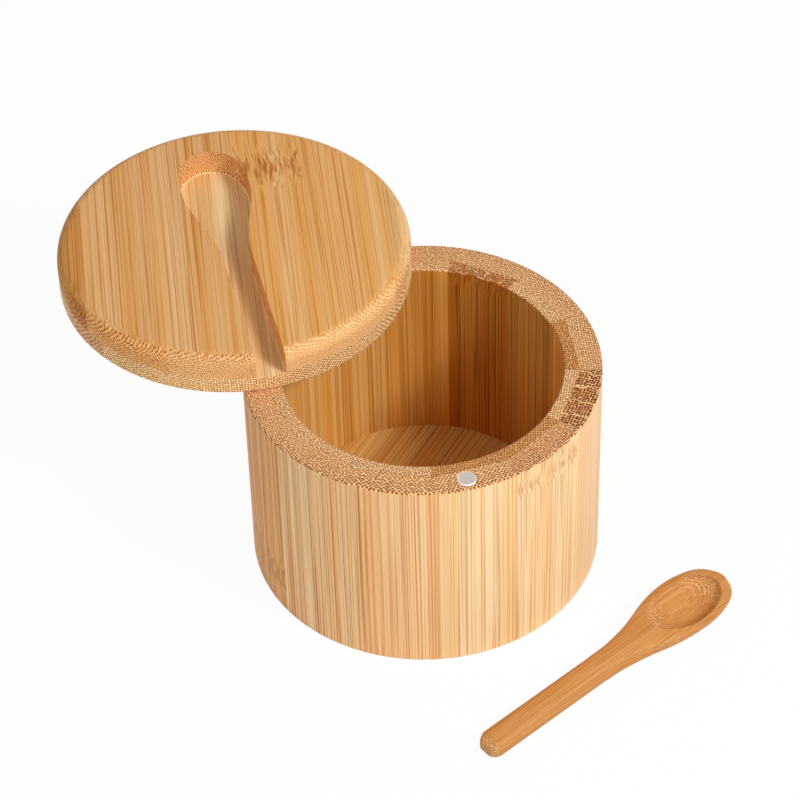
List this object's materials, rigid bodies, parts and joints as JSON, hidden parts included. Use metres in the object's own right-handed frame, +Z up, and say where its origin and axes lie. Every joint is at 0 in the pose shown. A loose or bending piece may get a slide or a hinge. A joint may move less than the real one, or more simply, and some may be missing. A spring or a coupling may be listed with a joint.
{
  "type": "salt box with swivel lid",
  "caption": "Round coopered bamboo salt box. Its flat lid swivels aside on a pin in the rim, is held shut by magnets and has a groove for a small spoon.",
  "frame": {"origin": "centre of the box's round underside, on the surface it stands on", "axes": "+Z up along the box's axis, +Y from the axis towards the lid's pivot pin"},
  "size_m": [0.1567, 0.1694, 0.0715],
  "materials": {
    "stave_bamboo": "sanded bamboo, clear oil, satin",
    "floor_bamboo": "sanded bamboo, clear oil, satin",
    "lid_bamboo": "sanded bamboo, clear oil, satin",
    "spoon_bamboo": "carbonised bamboo, waxed, satin",
    "pin_steel": "drawn steel",
    "magnet_nickel": "nickel plate, satin"
  },
  "bodies": {
    "box": {"floor_strip_1": "floor_bamboo", "floor_strip_2": "floor_bamboo", "floor_strip_3": "floor_bamboo", "floor_strip_4": "floor_bamboo", "pivot_pin": "pin_steel", "rim_magnet": "magnet_nickel", "stave_inner_01": "stave_bamboo", "stave_inner_02": "stave_bamboo", "stave_inner_03": "stave_bamboo", "stave_inner_04": "stave_bamboo", "stave_inner_05": "stave_bamboo", "stave_inner_06": "stave_bamboo", "stave_inner_07": "stave_bamboo", "stave_inner_08": "stave_bamboo", "stave_inner_09": "stave_bamboo", "stave_inner_10": "stave_bamboo", "stave_inner_11": "stave_bamboo", "stave_inner_12": "stave_bamboo", "stave_inner_13": "stave_bamboo", "stave_outer_01": "stave_bamboo", "stave_outer_02": "stave_bamboo", "stave_outer_03": "stave_bamboo", "stave_outer_04": "stave_bamboo", "stave_outer_05": "stave_bamboo", "stave_outer_06": "stave_bamboo", "stave_outer_07": "stave_bamboo", "stave_outer_08": "stave_bamboo", "stave_outer_09": "stave_bamboo", "stave_outer_10": "stave_bamboo", "stave_outer_11": "stave_bamboo", "stave_outer_12": "stave_bamboo", "stave_outer_13": "stave_bamboo"},
    "lid": {"lid_base_strip_1": "lid_bamboo", "lid_base_strip_2": "lid_bamboo", "lid_base_strip_3": "lid_bamboo", "lid_base_strip_4": "lid_bamboo", "lid_base_strip_5": "lid_bamboo", "lid_magnet": "magnet_nickel", "lid_top_strip_1": "lid_bamboo", "lid_top_strip_2": "lid_bamboo", "lid_top_strip_3": "lid_bamboo", "lid_top_strip_4": "lid_bamboo", "lid_top_strip_5": "lid_bamboo", "lid_top_strip_6": "lid_bamboo"},
    "spoon": {"spoon": "spoon_bamboo"}
  },
  "joints": [
    {"name": "lid_swivel", "type": "hinge", "parent": "box", "child": "lid", "pos_m": [0, 0.0403, 0.0603], "axis": [0, 0, 1], "range_deg": [-264.2, 95.8]},
    {"name": "spoon_lift", "type": "slide", "parent": "box", "child": "spoon", "axis": [0, 0, 1], "range_m": [0, 0.1]}
  ]
}
